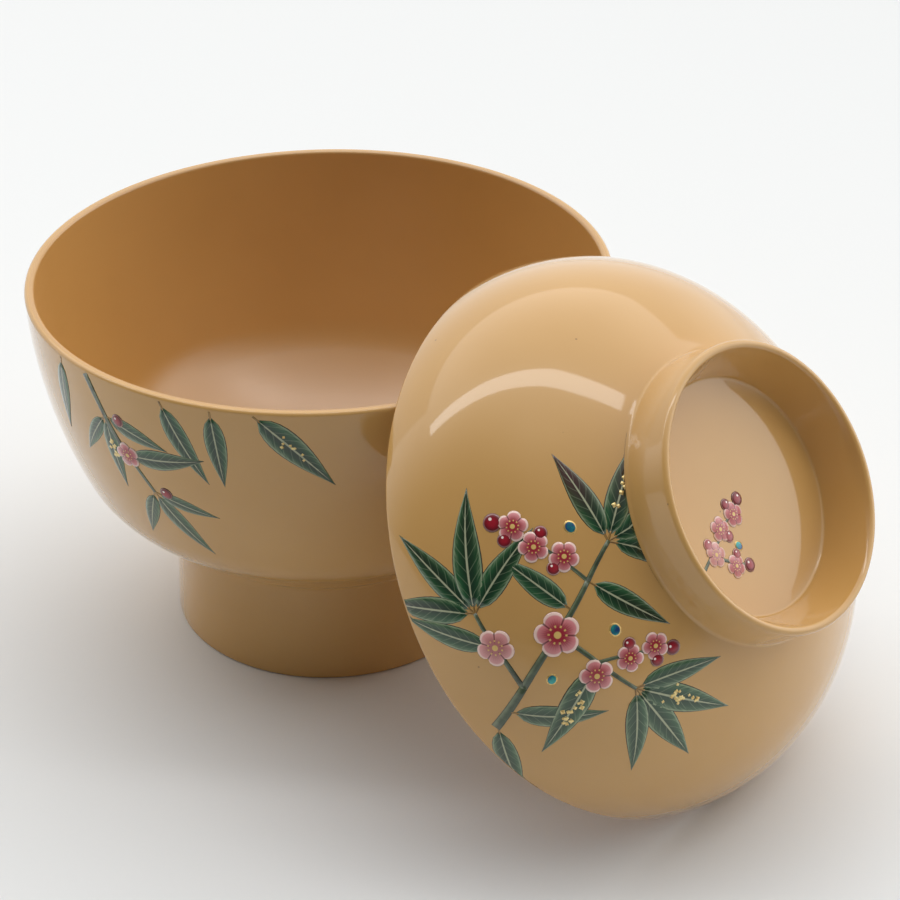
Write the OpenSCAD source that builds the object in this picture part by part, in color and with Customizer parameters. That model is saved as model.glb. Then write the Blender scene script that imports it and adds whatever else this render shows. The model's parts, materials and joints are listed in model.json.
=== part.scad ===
// Lacquered soup bowl on a tall foot, with its lid taken off and leaning on the rim.
// The bowl stands at the origin on its foot ring. The lid stands on the table on the
// lowest point of its own rim, and the upper part of its rim lies over the bowl's lip.
// Both pieces are turned, so each one is a half section made of tangent arcs.

/* [Bowl] */
// Outer diameter at the rim
bowl_d = 120; // [117:0.5:126]
// Height from the table to the rim
bowl_h = 79.4; // [77:0.1:84]
// Thickness of the wall below the lip
wall_t = 3.2; // [2.6:0.1:3.8]
// Thickness of the lip
lip_t = 2; // [1.7:0.05:2.6]
// Radius on each edge of the lip
lip_edge = 0.7; // [0.4:0.05:0.8]

/* [Bowl outline, from the rim down] */
// Angle that the wall leans out at the rim
rim_lean = 1.1; // [0.5:0.1:3]
// Radius of the tall upper wall
side_r = 105.5; // [95:0.5:125]
// Angle that the upper wall turns through
side_turn = 21.3; // [18:0.1:23]
// Radius of the belly
belly_r = 20; // [18:0.5:28]
// Angle that the belly turns through
belly_turn = 26; // [22:0.1:28]
// Radius of the nearly straight underside
under_r = 160; // [150:5:300]

/* [Foot] */
// Diameter of the foot on the table
foot_d = 68.1; // [66.5:0.1:71]
// Diameter of the foot where it meets the underside
foot_top_d = 66; // [63:0.1:67]
// Width of the ring that stands on the table
foot_ring_w = 3.6; // [3:0.1:5]
// Radius on the edges of the standing ring
foot_edge = 0.6; // [0.3:0.05:0.9]
// Depth of the hollow under the foot
foot_hollow = 12; // [8:0.1:13]
// Draft of the wall of that hollow
hollow_draft = 10; // [4:1:16]
// Radius in the corner of the hollow
hollow_fillet = 2; // [1:0.1:3]
// Radius between the foot and the underside
foot_fillet = 1.2; // [0.6:0.1:2]

/* [Lid] */
// Outer diameter at the lid's rim
lid_d = 110.4; // [108:0.1:111.5]
// Thickness of the lid
lid_t = 2; // [1.8:0.05:2.4]
// Angle that the lid's side leans in at the rim
lid_lean = 3.1; // [1:0.1:5]
// Radius of the lid's shoulder
shoulder_r = 34.2; // [33:0.1:36]
// Angle that the shoulder turns through
shoulder_turn = 51; // [48:0.1:53]
// Radius of the lid's crown
crown_r = 76.4; // [70:0.2:84]
// Thickness of the lid under the ring
ceiling_t = 2.6; // [2:0.1:3.4]
// Radius where the crown's inside meets the flat ceiling
ceiling_fillet = 12; // [8:0.5:16]

/* [Ring grip] */
// Diameter of the ring where it rises from the crown
ring_d = 55.4; // [54:0.1:58]
// Diameter at the ring's lip
ring_lip_d = 54.8; // [53:0.1:57]
// Height of the ring's lip above the lid's rim
ring_top = 44; // [43:0.1:46]
// Thickness of the ring's lip
ring_lip_t = 1.7; // [1.4:0.05:2.2]
// Diameter of the flat floor inside the ring
recess_d = 45; // [42:0.1:47]
// Depth of that floor below the ring's lip
recess_depth = 9.1; // [8.2:0.1:9.8]
// Radius between the floor and the ring
recess_fillet = 0.6; // [0.3:0.05:1]
// Radius between the ring and the crown
ring_fillet = 0.8; // [0.4:0.05:1.2]

/* [Lean] */
// Direction in which the lid leans, seen from above
lean_turn = -43.5; // [-50:0.1:-36]
// Height on the lid's rim, as a share of its radius above its middle, of the two places
// that rest on the bowl's lip
lean_hold_share = 0.756; // [0.72:0.002:0.79]
// Air between the lid and the lip of the bowl
lean_gap = 0.3; // [0.2:0.05:0.6]
// Air between the lid and the table
table_gap = 0.02; // [0:0.01:0.1]

/* [Hidden] */
$fn = 128;

// Point on a unit circle
function unit(a) = [cos(a), sin(a)];
// Half width of a disc of radius r at height h above its centre
function half_width(r, h) = sqrt(r * r - h * h);
// Direction from p in which a line touches a circle, on the side given as 1 or -1
function touch_angle(p, c, r, side) =
    atan2(c[1] - p[1], c[0] - p[0]) + side * asin(r / norm(c - p));
// Centre of a fillet of radius f between a line and the outside of a disc. The line
// starts at p outside the disc and runs along t, and n points to the fillet's side.
function fillet_centre(p, t, n, c, r, f) =
    let (q = p + f * n - c, b = q * t, k = q * q - (r + f) * (r + f))
    c + q - (b + sqrt(b * b - k)) * t;
// Point at distance r from c towards p
function toward(c, p, r) = c + r * (p - c) / norm(p - c);

// Outline of the bowl: the centres and joints of its three arcs, from the rim down
rim_r = bowl_d / 2;
lip_z = bowl_h - lip_edge;
lip_out = [rim_r - lip_edge, lip_z];
side_a = -rim_lean;
belly_a = side_a - side_turn;
under_a = belly_a - belly_turn;
side_c = lip_out - (side_r - lip_edge) * unit(side_a);
belly_j = side_c + side_r * unit(belly_a);
belly_c = belly_j - belly_r * unit(belly_a);
under_j = belly_c + belly_r * unit(under_a);
under_c = under_j - under_r * unit(under_a);
lip_out_end = side_c + side_r * unit(side_a);
// How far the smaller disc of a joint runs on inside the larger one, and how far arcs
// that touch are let into each other, so that they cross instead of only touching
joint_lap = wall_t / 2;
arc_bite_share = 0.001;
arc_bite = wall_t * arc_bite_share;

// Inside of the bowl: parallel to the belly, thinning to the lip above it
lip_in = [rim_r - lip_t + lip_edge, lip_z];
in_belly_r = belly_r - wall_t;
in_belly_j = belly_c + in_belly_r * unit(belly_a);
in_rise = lip_in - in_belly_j;
in_side_r = (in_rise * in_rise - lip_edge * lip_edge)
    / (2 * (lip_edge - in_rise * unit(belly_a)));
in_side_c = in_belly_j - in_side_r * unit(belly_a);
lip_in_end = toward(in_side_c, lip_in, in_side_r);
in_floor_j = belly_c + in_belly_r * unit(under_a);
in_floor_r = in_floor_j[0] / cos(under_a);
in_floor_c = [0, in_floor_j[1] - in_floor_r * sin(under_a)];
floor_z = in_floor_c[1] - in_floor_r;

// Foot: a sloping side, a rounded ring that stands on the table, and a hollow
foot_r = foot_d / 2;
foot_top_r = foot_top_d / 2;
foot_h = under_c[1] - half_width(under_r, foot_top_r - under_c[0]);
foot_lean = atan2(foot_r - foot_top_r, foot_h);
foot_up = [-sin(foot_lean), cos(foot_lean)];
tread_out = [foot_r - foot_edge * (1 + sin(foot_lean)) / cos(foot_lean), foot_edge];
tread_in = [foot_r - foot_ring_w + foot_edge, foot_edge];
foot_start = tread_out + foot_edge * unit(foot_lean);
foot_fil_c = fillet_centre(foot_start, foot_up, unit(foot_lean),
                           under_c, under_r, foot_fillet);
foot_fil_low = foot_fil_c - foot_fillet * unit(foot_lean);
foot_fil_high = toward(foot_fil_c, under_c, foot_fillet);
hollow_start = tread_in - foot_edge * unit(hollow_draft);
hollow_top_r = hollow_start[0] - (foot_hollow - hollow_start[1]) * tan(hollow_draft);
hollow_cut = hollow_fillet * tan(45 - hollow_draft / 2);
hollow_c = [hollow_top_r - hollow_cut, foot_hollow - hollow_fillet];
hollow_end = hollow_c + hollow_fillet * unit(hollow_draft);

// Outline of the lid, standing on its rim
lid_r = lid_d / 2;
lid_edge = lid_t / 2;
lid_rim = [lid_r - lid_edge, lid_edge];
crown_a = lid_lean + shoulder_turn;
shoulder_c = lid_rim - (shoulder_r - lid_edge) * unit(lid_lean);
crown_j = shoulder_c + shoulder_r * unit(crown_a);
crown_c = crown_j - crown_r * unit(crown_a);
lid_out_end = lid_rim + lid_edge * unit(lid_lean);
lid_in_end = lid_rim - lid_edge * unit(lid_lean);
in_shoulder_r = shoulder_r - lid_t;
in_crown_j = shoulder_c + in_shoulder_r * unit(crown_a);
recess_z = ring_top - recess_depth;
ceiling_z = recess_z - ceiling_t;
in_crown_r = crown_r - lid_t;
ceiling_h = ceiling_z - ceiling_fillet - crown_c[1];
ceiling_c = crown_c + [half_width(in_crown_r - ceiling_fillet, ceiling_h), ceiling_h];
ceiling_j = toward(crown_c, ceiling_c, in_crown_r);

// Ring grip: an outer and an inner slope that both touch a round lip
ring_r = ring_d / 2;
ring_edge = ring_lip_t / 2;
ring_lip = [ring_lip_d / 2 - ring_edge, ring_top - ring_edge];
ring_foot = [ring_r, crown_c[1] + half_width(crown_r, ring_r - crown_c[0])];
ring_out_a = touch_angle(ring_foot, ring_lip, ring_edge, -1);
ring_out = ring_lip + ring_edge * unit(ring_out_a - 90);
ring_fil_c = fillet_centre(ring_out, -unit(ring_out_a), unit(ring_out_a - 90),
                           crown_c, crown_r, ring_fillet);
ring_fil_high = ring_fil_c + ring_fillet * unit(ring_out_a + 90);
ring_fil_low = toward(ring_fil_c, crown_c, ring_fillet);
recess_edge = [recess_d / 2, recess_z];
ring_in_a = touch_angle(recess_edge, ring_lip, ring_edge, 1);
ring_in = ring_lip + ring_edge * unit(ring_in_a + 90);
recess_cut = recess_fillet * tan(ring_in_a / 2);
recess_low = recess_edge - [recess_cut, 0];
recess_high = recess_edge + recess_cut * unit(ring_in_a);
recess_c = recess_low + [0, recess_fillet];

// Lean: the circle through the lid's rim crosses the circle through the bowl's lip, and
// the lid stands off along the direction that is square to both circles there
rim_circle = lid_rim[0];
lip_circle = lip_out[0];
lean_reach = (1 + lean_hold_share) * rim_circle;
lean_tilt = acos((lip_z - lid_edge - table_gap) / lean_reach);
rim_lift = lid_edge * sin(lean_tilt);
rim_shift = lid_edge * cos(lean_tilt);
lean_z = rim_circle * cos(lean_tilt) + lid_edge - rim_lift + table_gap;
cross_up = (lip_z - lean_z - rim_lift) / cos(lean_tilt);
cross_side = half_width(rim_circle, cross_up);
cross_out = half_width(lip_circle, cross_side);
rim_way = [cross_side * sin(lean_tilt), cross_up, -cross_side * cos(lean_tilt)];
lip_way = [-cross_side, cross_out, 0];
apart = cross(rim_way, lip_way) / norm(cross(rim_way, lip_way));
lean_x = cross_out + cross_up * sin(lean_tilt) - rim_shift
    + (lid_edge + lip_edge + lean_gap) / apart[0];

echo(foot_h = foot_h, floor_z = floor_z, ring_base_z = ring_foot[1]);
echo(lean_tilt = lean_tilt, lean_x = lean_x, lean_z = lean_z);

// Everything between two heights from the axis out to the right side of a disc
module band(c, r, z0, z1) {
    intersection() {
        translate(c) circle(r);
        translate([0, z0]) square([bowl_d + lid_d, z1 - z0]);
    }
    if (c[0] > 0) translate([0, z0]) square([c[0], z1 - z0]);
}

// Everything within the outer surface of the bowl, above the foot
module bowl_outline() {
    band(under_c, under_r - arc_bite, foot_h - joint_lap, under_j[1]);
    band(belly_c, belly_r, under_j[1] - joint_lap, belly_j[1] + joint_lap);
    intersection() {
        translate(side_c) circle(side_r - arc_bite);
        polygon([[0, belly_j[1]], [bowl_d, belly_j[1]], [bowl_d, lip_out_end[1]],
                 lip_out_end, lip_in_end, [0, lip_in_end[1]]]);
    }
}

// The room inside the bowl
module bowl_room() {
    band(in_floor_c, in_floor_r, floor_z - joint_lap, in_floor_j[1]);
    band(belly_c, in_belly_r + 2 * arc_bite,
         in_floor_j[1] - joint_lap, in_belly_j[1] + joint_lap);
    band(in_side_c, in_side_r + arc_bite, in_belly_j[1], bowl_h);
}

// The lip, flat on top between two rounded edges
module lip_outline() {
    polygon([lip_out, lip_out + [0, lip_edge - arc_bite],
             lip_in + [0, lip_edge - arc_bite], lip_in,
             [rim_r - lip_t / 2, lip_z - lip_t]]);
    translate(lip_out) circle(lip_edge);
    translate(lip_in) circle(lip_edge);
}

// The foot, solid, with its rounded tread and a chamfer from which the fillet is cut
module foot_outline() {
    polygon([[0, 0], [tread_out[0], 0], tread_out, foot_start, foot_fil_low,
             foot_fil_high, foot_fil_high + [-wall_t, joint_lap],
             [0, foot_fil_high[1] + joint_lap]]);
    translate(tread_out) circle(foot_edge);
}

// The hollow under the foot
module foot_room() {
    difference() {
        polygon([[0, -foot_edge], [tread_in[0], -foot_edge], tread_in, hollow_start,
                 hollow_end, hollow_c, [hollow_c[0], foot_hollow], [0, foot_hollow]]);
        translate(tread_in) circle(foot_edge);
    }
    translate(hollow_c) circle(hollow_fillet);
}

module bowl() {
    color("burlywood") rotate_extrude() {
        difference() {
            union() {
                bowl_outline();
                foot_outline();
            }
            bowl_room();
            foot_room();
            translate(foot_fil_c) circle(foot_fillet + arc_bite);
        }
        lip_outline();
    }
}

// Everything within the outer surface of the lid, cut level at the floor of the ring
module lid_outline() {
    polygon([[0, lid_in_end[1]], lid_in_end, lid_rim, lid_out_end,
             [shoulder_c[0], crown_j[1]], [0, crown_j[1]]]);
    band(shoulder_c, shoulder_r, lid_out_end[1], crown_j[1] + lid_edge);
    band(crown_c, crown_r, crown_j[1], recess_z);
}

// The room inside the lid, with its flat ceiling under the ring
module lid_room() {
    band(shoulder_c, in_shoulder_r, -lid_edge, in_crown_j[1] + lid_edge);
    band(crown_c, in_crown_r, in_crown_j[1], ceiling_j[1]);
    translate(ceiling_c) circle(ceiling_fillet);
    square([ceiling_c[0], ceiling_z]);
}

// The ring grip with its round lip, and the fillets inside and outside it
module lid_ring() {
    translate(ring_lip) circle(ring_edge);
    polygon([ring_foot, ring_out, ring_lip, ring_in, recess_edge,
             recess_edge - [0, ceiling_t / 2], ring_foot - [0, ceiling_t / 2]]);
    difference() {
        polygon([ring_fil_c, ring_fil_high, ring_foot - [ceiling_t, 0],
                 ring_foot - [0, ceiling_t / 2], ring_fil_low]);
        translate(ring_fil_c) circle(ring_fillet);
    }
    difference() {
        polygon([recess_c, recess_low, recess_low - [0, ceiling_t / 2],
                 recess_edge + [ceiling_t / 2, -ceiling_t / 2], recess_high]);
        translate(recess_c) circle(recess_fillet);
    }
}

module lid() {
    color("tan") rotate([0, 0, lean_turn]) translate([lean_x, 0, lean_z])
        rotate([0, 90 - lean_tilt, 0]) rotate_extrude() {
            difference() {
                lid_outline();
                lid_room();
            }
            translate(lid_rim) circle(lid_edge);
            lid_ring();
        }
}

bowl();
lid();
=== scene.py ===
"""Dressed model of a lacquered soup bowl whose lid has been taken off and leans on its rim.

The packed model gives the frame. Bowl and lid are turned pieces, so each is revolved
again from its half section with a finer mesh and a coat of lacquer. A spray of leaves,
blossoms and buds is laid on both as thin raised lacquer, with gold and shell inlay.
"""
import json
import logging
import math
import random
from dataclasses import dataclass, field
from enum import Enum
from typing import Any, Callable, Sequence

import bpy
from mathutils import Matrix, Vector

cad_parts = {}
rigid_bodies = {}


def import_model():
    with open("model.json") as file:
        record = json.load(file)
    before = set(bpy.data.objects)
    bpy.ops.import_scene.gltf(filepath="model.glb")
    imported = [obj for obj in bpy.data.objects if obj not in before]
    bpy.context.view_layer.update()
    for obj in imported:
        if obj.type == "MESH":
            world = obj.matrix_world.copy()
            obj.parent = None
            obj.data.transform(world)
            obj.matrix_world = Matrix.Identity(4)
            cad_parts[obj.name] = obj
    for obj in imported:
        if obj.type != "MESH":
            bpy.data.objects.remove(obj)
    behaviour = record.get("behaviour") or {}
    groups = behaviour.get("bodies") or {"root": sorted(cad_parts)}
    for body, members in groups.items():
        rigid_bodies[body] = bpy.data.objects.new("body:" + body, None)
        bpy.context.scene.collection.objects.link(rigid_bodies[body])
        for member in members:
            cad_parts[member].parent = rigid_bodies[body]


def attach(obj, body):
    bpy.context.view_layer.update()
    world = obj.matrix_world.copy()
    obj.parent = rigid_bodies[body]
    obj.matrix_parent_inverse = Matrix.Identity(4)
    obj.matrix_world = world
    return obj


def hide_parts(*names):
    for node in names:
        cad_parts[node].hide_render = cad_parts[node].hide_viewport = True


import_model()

Point = tuple[float, float]
Colour = tuple[float, float, float]

log = logging.getLogger("bowl")
MM = 0.001
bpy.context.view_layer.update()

# Steps of the mesh along a half section, in millimetres.
LIP_STEP = 0.1
EDGE_STEP = 0.12
CREASE_STEP = 0.15
SMALL_STEP = 0.3
CURVE_STEP = 0.6
SHOULDER_STEP = 0.7
RING_STEP = 0.8
ARC_STEP = 0.9
LINE_STEP = 1.5
POLE_STEP = 0.5


# Plane geometry.
def unit(degrees: float) -> Point:
    """Point on a unit circle at an angle in degrees."""
    return math.cos(math.radians(degrees)), math.sin(math.radians(degrees))


def plus(p: Point, q: Point, scale: float = 1.0) -> Point:
    """Sum of p and q times scale."""
    return p[0] + q[0] * scale, p[1] + q[1] * scale


def heading(c: Point, p: Point) -> float:
    """Direction from c to p in degrees."""
    return math.degrees(math.atan2(p[1] - c[1], p[0] - c[0]))


def half_width(r: float, h: float) -> float:
    """Half width of a disc of radius r at height h above its centre."""
    return math.sqrt(r * r - h * h)


def fillet_centre(p: Point, t: Point, n: Point, c: Point, r: float, f: float) -> Point:
    """Centre of a fillet between a line and the outside of a disc.

    Args:
        p: Start of the line, outside the disc.
        t: Direction of the line.
        n: Direction from the line to the fillet's side.
        c: Centre of the disc.
        r: Radius of the disc.
        f: Radius of the fillet.

    Returns:
        The centre of the fillet.
    """
    q = (p[0] + f * n[0] - c[0], p[1] + f * n[1] - c[1])
    b = q[0] * t[0] + q[1] * t[1]
    k = q[0] ** 2 + q[1] ** 2 - (r + f) ** 2
    run = b + math.sqrt(b * b - k)
    return c[0] + q[0] - run * t[0], c[1] + q[1] - run * t[1]


def touch_angle(p: Point, c: Point, r: float, side: int) -> float:
    """Direction from p in degrees in which a line touches a circle on the given side."""
    return heading(p, c) + side * math.degrees(math.asin(r / math.dist(p, c)))


def put_in_scene(name: str, data: Any) -> bpy.types.Object:
    """Makes an object of a mesh, lamp or camera and links it to the scene."""
    made = bpy.data.objects.new(name, data)
    bpy.context.scene.collection.objects.link(made)
    return made


class Zone(Enum):
    """Part of a turned surface that has a finish of its own."""

    OUTSIDE = 0
    INSIDE = 1


@dataclass
class Section:
    """Half section of a turned piece, in millimetres, walked with the solid on its left."""

    points: list[Point] = field(default_factory=list)
    zones: list[int] = field(default_factory=list)
    zone: Zone = Zone.OUTSIDE
    least_gap: float = 1e-4
    least_steps: int = 2

    def add(self, *points: Point) -> None:
        """Adds points and leaves out repeated ones."""
        for p in points:
            if not self.points or math.dist(p, self.points[-1]) > self.least_gap:
                self.points.append(p)
                self.zones.append(self.zone.value)

    def line(self, end: Point, step: float = LINE_STEP) -> None:
        """Walks straight to end in steps of about the given length."""
        start = self.points[-1]
        n = max(1, round(math.dist(start, end) / step))
        self.add(*[(start[0] + (end[0] - start[0]) * k / n,
                    start[1] + (end[1] - start[1]) * k / n) for k in range(1, n + 1)])

    def arc(self, c: Point, r: float, a0: float, a1: float, step: float = ARC_STEP) -> None:
        """Walks an arc.

        Args:
            c: Centre of the arc.
            r: Radius of the arc.
            a0: First direction in degrees.
            a1: Last direction in degrees.
            step: Length of one step in millimetres.
        """
        n = max(self.least_steps, round(abs(math.radians(a1 - a0)) * r / step))
        self.add(*[plus(c, unit(a0 + (a1 - a0) * k / n), r) for k in range(n + 1)])

    def mesh(self, name: str) -> bpy.types.Mesh:
        """Mesh of the edges along the section, in metres."""
        mesh = bpy.data.meshes.new(name)
        mesh.from_pydata([(r * MM, 0.0, z * MM) for r, z in self.points],
                         [(k, k + 1) for k in range(len(self.points) - 1)], [])
        return mesh


# Node trees.
def math_node(operation: str, meaning: str, swapped: bool = False) -> Callable[..., "Num"]:
    """Makes a method of Num that adds one Math node.

    Args:
        operation: What the node does.
        meaning: What the method gives, as its docstring.
        swapped: Whether the number is the node's last value and not its first.

    Returns:
        The method.
    """
    def method(self: "Num", *others: Any) -> "Num":
        """Adds the node with the given values or links."""
        values = (*others, self) if swapped else (self, *others)
        node = self.tree.node("ShaderNodeMath", {"operation": operation},
                              dict(enumerate(values)))
        return Num(self.tree, node.outputs[0])
    method.__doc__ = meaning
    return method


class Num:
    """A number in a node tree. Arithmetic on it adds Math nodes."""

    def __init__(self, tree: "Tree", socket: Any) -> None:
        """Keeps the tree and the socket that gives the number."""
        self.tree = tree
        self.socket = socket

    __add__ = __radd__ = math_node("ADD", "Sum.")
    __sub__ = math_node("SUBTRACT", "Difference.")
    __rsub__ = math_node("SUBTRACT", "Difference with the number on the right.", True)
    __mul__ = __rmul__ = math_node("MULTIPLY", "Product.")
    __truediv__ = math_node("DIVIDE", "Quotient.")
    __pow__ = math_node("POWER", "Power.")
    __abs__ = math_node("ABSOLUTE", "Absolute value.")
    sin = math_node("SINE", "Sine of an angle in radians.")
    cos = math_node("COSINE", "Cosine of an angle in radians.")
    angle = math_node("ARCTAN2", "Angle in radians whose tangent is the first over the other.")
    whole = math_node("ROUND", "Nearest whole number.")
    part = math_node("FRACT", "Fraction.")
    most = math_node("MAXIMUM", "Larger of two numbers.")
    least = math_node("MINIMUM", "Smaller of two numbers.")
    above = math_node("GREATER_THAN", "1 where the number is the larger one, otherwise 0.")

    def __neg__(self) -> "Num":
        """Negative."""
        return self * -1.0

    def ramp(self, low: float, high: float) -> "Num":
        """Smooth step from 0 at low to 1 at high."""
        node = self.tree.node("ShaderNodeMapRange", {"interpolation_type": "SMOOTHSTEP"},
                              {"Value": self, "From Min": low, "From Max": high})
        return Num(self.tree, node.outputs[0])


class Tree:
    """A node tree of a material or of Geometry Nodes, with short ways to fill it."""

    def __init__(self, tree: bpy.types.NodeTree) -> None:
        """Keeps the tree."""
        self.tree = tree

    @staticmethod
    def _find(sockets: Any, key: int | str) -> Any:
        """Socket by place, identifier or name."""
        if isinstance(key, int):
            return sockets[key]
        for s in sockets:
            if s.identifier == key:
                return s
        for s in sockets:
            if s.name == key and s.enabled:
                return s
        raise KeyError(key)

    def feed(self, socket: Any, value: Any) -> None:
        """Gives a socket its value, or a link from a number, a node or a socket."""
        if isinstance(value, Num):
            value = value.socket
        elif isinstance(value, bpy.types.Node):
            value = value.outputs[0]
        if isinstance(value, bpy.types.NodeSocket):
            self.tree.links.new(value, socket)
        else:
            socket.default_value = value

    def node(self, kind: str, settings: dict[str, Any] | None = None,
             values: dict[int | str, Any] | None = None) -> bpy.types.Node:
        """Adds one node.

        Args:
            kind: Type of the node.
            settings: The node's own settings.
            values: Values or links of its sockets, by place, identifier or name.

        Returns:
            The new node.
        """
        node = self.tree.nodes.new(kind)
        for name, value in (settings or {}).items():
            setattr(node, name, value)
        for key, value in (values or {}).items():
            self.feed(self._find(node.inputs, key), value)
        return node

    def out(self, node: bpy.types.Node, key: int | str) -> Any:
        """One output socket of a node."""
        return self._find(node.outputs, key)

    def num(self, node: bpy.types.Node, key: int | str) -> Num:
        """One output of a node as a number."""
        return Num(self, self._find(node.outputs, key))

    def mix(self, share: Any, a: Any, b: Any) -> Any:
        """Colour between a and b."""
        a, b = ((*c, 1.0) if isinstance(c, tuple) else c for c in (a, b))
        node = self.node("ShaderNodeMix", {"data_type": "RGBA"},
                         {"Factor_Float": share, "A_Color": a, "B_Color": b})
        return self.out(node, "Result_Color")

    def over(self, colour: Any, *layers: tuple[Any, Any]) -> Any:
        """Colour with layers laid over it, each given by its share and its own colour."""
        for share, layer in layers:
            colour = self.mix(share, colour, layer)
        return colour

    def noise(self, scale: float, detail: float = 2.0, rough: float = 0.5,
              where: Any = None) -> Num:
        """Smooth noise on Object coordinates or on the given vector."""
        node = self.node("ShaderNodeTexNoise", None,
                         {"Vector": self.place("Object") if where is None else where,
                          "Scale": scale, "Detail": detail, "Roughness": rough})
        return self.num(node, "Fac")

    def place(self, kind: str) -> Any:
        """Coordinates of a kind, such as Object or UV."""
        return self.out(self.node("ShaderNodeTexCoord"), kind)

    def parts(self, vector: Any) -> list[Num]:
        """The three parts of a vector."""
        node = self.node("ShaderNodeSeparateXYZ", None, {0: vector})
        return [self.num(node, k) for k in range(3)]

    def vector(self, x: Any, y: Any, z: Any) -> bpy.types.Node:
        """A vector from its three parts."""
        return self.node("ShaderNodeCombineXYZ", None, {0: x, 1: y, 2: z})

    def disc(self) -> tuple[Num, Num, Num]:
        """The piece's own map about its middle, as two numbers, and the radius there."""
        x, y = (part * 2.0 - 1.0 for part in self.parts(self.place("UV"))[:2])
        return x, y, (x * x + y * y) ** 0.5

    def tint(self) -> Num:
        """Tint of a motif, in a material."""
        return self.num(self.node("ShaderNodeAttribute", {"attribute_name": "tint"}), "Fac")

    def named(self, name: str) -> Num:
        """A named attribute of the mesh, in Geometry Nodes."""
        return self.num(self.node("GeometryNodeInputNamedAttribute",
                                  {"data_type": "FLOAT"}, {"Name": name}), "Attribute")

    def chain(self, geometry: Any, *steps: tuple[str, dict[str, Any], dict[str, Any]]
              ) -> Any:
        """Sends a geometry through nodes, each given by its type, settings and values."""
        for kind, settings, values in steps:
            geometry = self.node(kind, settings, {"Geometry": geometry, **values})
        return geometry


def linear(value: float) -> float:
    """Linear value of one sRGB channel of 0 to 255."""
    value /= 255.0
    return value / 12.92 if value <= 0.04045 else ((value + 0.055) / 1.055) ** 2.4


def srgb(red: float, green: float, blue: float) -> Colour:
    """Linear colour from sRGB values of 0 to 255."""
    return linear(red), linear(green), linear(blue)


# Finishes.
@dataclass
class Surface:
    """What a finish gives its shader. A height of 1 stands for depth, in millimetres."""

    colour: Any
    rough: Any
    height: Num | None = None
    depth: float = 0.0
    metallic: Any = 0.0
    more: dict[str, float] = field(default_factory=dict)


@dataclass(frozen=True)
class Finish:
    """A finish, by default under a clear coat. Each kind works out its own surface."""

    name: str

    def surface(self, t: Tree) -> Surface:
        """Works out the surface in a material's tree.

        Args:
            t: The tree.

        Returns:
            The surface.
        """
        raise NotImplementedError

    def material(self) -> bpy.types.Material:
        """Builds the finish.

        Returns:
            The material.
        """
        mat = bpy.data.materials.new(self.name)
        mat.use_nodes = True
        t = Tree(mat.node_tree)
        made = self.surface(t)
        inputs = {"Base Color": made.colour, "Roughness": made.rough,
                  "Metallic": made.metallic, "Specular IOR Level": 0.12,
                  "Coat Weight": 1.0, "Coat Roughness": 0.05, "Coat IOR": 1.5}
        if made.height is not None:
            inputs["Normal"] = t.node("ShaderNodeBump", None, {
                "Height": made.height, "Distance": made.depth * MM, "Strength": 1.0})
        shader = mat.node_tree.nodes["Principled BSDF"]
        for key, value in {**inputs, **made.more}.items():
            t.feed(shader.inputs[key], value)
        return mat


class Sheen(Enum):
    """How the lacquer was finished."""

    POLISHED = "polished"
    SATIN = "satin"


@dataclass(frozen=True)
class Lacquer(Finish):
    """Beige lacquer over turned wood.

    The colour drifts a little over the surface and holds a few dark specks. The surface
    keeps a trace of orange peel and, where it is satin, of the brush that went round.
    """

    sheen: Sheen
    colour: Colour = srgb(206, 161, 97)
    deep: Colour = srgb(193, 146, 80)
    speck: Colour = srgb(112, 74, 40)
    drift_scale: float = 28.0
    speck_scale: float = 240.0
    peel_scale: float = 420.0
    wave_scale: float = 60.0

    def surface(self, t: Tree) -> Surface:
        """Works out the surface in a material's tree."""
        around, along, _ = t.parts(t.place("UV"))
        drift = t.noise(self.drift_scale, 3.0).ramp(0.3, 0.7)
        cells = t.node("ShaderNodeTexVoronoi", {"feature": "F1"},
                       {"Vector": t.place("Object"), "Scale": self.speck_scale})
        rare = t.num(t.node("ShaderNodeSeparateColor", None,
                            {0: t.out(cells, "Color")}), 0)
        spot = (1.0 - t.num(cells, "Distance").ramp(0.03, 0.07)) * rare.ramp(0.93, 0.95)
        colour = t.over(self.colour, (drift * 0.35, self.deep), (spot * 0.6, self.speck))
        brush = t.noise(1.0, 3.0, 0.6, t.vector(around * 3.0, along * 220.0, 0.0))
        peel = t.noise(self.peel_scale)
        wave = t.noise(self.wave_scale, 1.0)
        if self.sheen is Sheen.POLISHED:
            return Surface(colour, 0.2 + drift * 0.04 + spot * 0.2,
                           peel * 0.12 + wave * 1.0 + brush * 0.05, 0.012,
                           more={"IOR": 1.5})
        return Surface(colour, 0.26 + brush * 0.08 + drift * 0.04,
                       peel * 0.3 + brush * 0.5 + wave * 0.6, 0.02,
                       more={"IOR": 1.8, "Specular IOR Level": 0.5, "Coat Weight": 0.0})


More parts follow.
